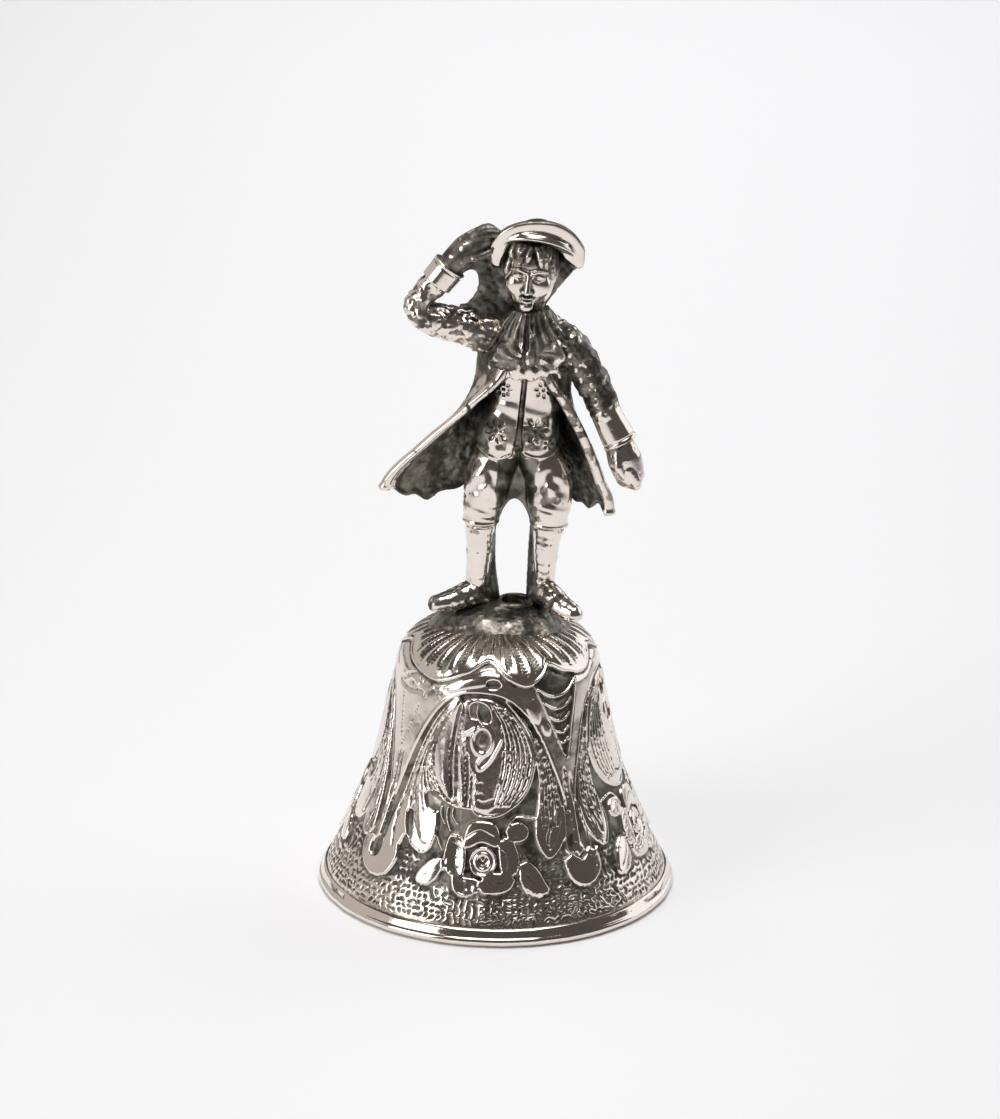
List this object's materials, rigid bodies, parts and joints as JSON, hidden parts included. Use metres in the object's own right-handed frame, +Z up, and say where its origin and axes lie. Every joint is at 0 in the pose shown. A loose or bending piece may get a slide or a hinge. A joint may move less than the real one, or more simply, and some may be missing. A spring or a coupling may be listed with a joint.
{
  "type": "table bell",
  "caption": "Cast silver table bell with a domed relief body, a standing gentleman raising his hat as its handle, and a swinging clapper.",
  "frame": {"origin": "middle of the mouth, on the plane that the bell stands on", "axes": "+Z up along the bell's axis, -Y the way the figure faces, +X towards the figure's lowered arm"},
  "size_m": [0.0564, 0.0564, 0.1089],
  "materials": {
    "polished_silver": "polished, fine wear scratches",
    "cast_silver": "cast and chased, bright on the high points, dark oxidation in the recesses",
    "oxidised_silver": "rough as cast, oxidised",
    "clapper_silver": "satin, lightly tarnished"
  },
  "bodies": {
    "bell": {"bell_shell": "cast_silver", "mouth_band": "polished_silver", "footplate": "oxidised_silver", "figure_body": "cast_silver", "coat": "cast_silver", "raised_arm": "cast_silver", "lowered_arm": "cast_silver", "hat": "polished_silver", "hanger_washer": "clapper_silver"},
    "hanger": {"clapper_hanger": "clapper_silver"},
    "clapper": {"clapper_rod": "clapper_silver", "clapper_ball": "clapper_silver"}
  },
  "joints": [
    {"name": "hanger_swivel", "type": "hinge", "parent": "bell", "child": "hanger", "pos_m": [0, 0, 0.0425], "axis": [0, 0, 1], "continuous": true},
    {"name": "clapper_swing", "type": "hinge", "parent": "hanger", "child": "clapper", "pos_m": [0, 0, 0.0386], "axis": [1, 0, 0], "range_deg": [-34, 34]}
  ]
}
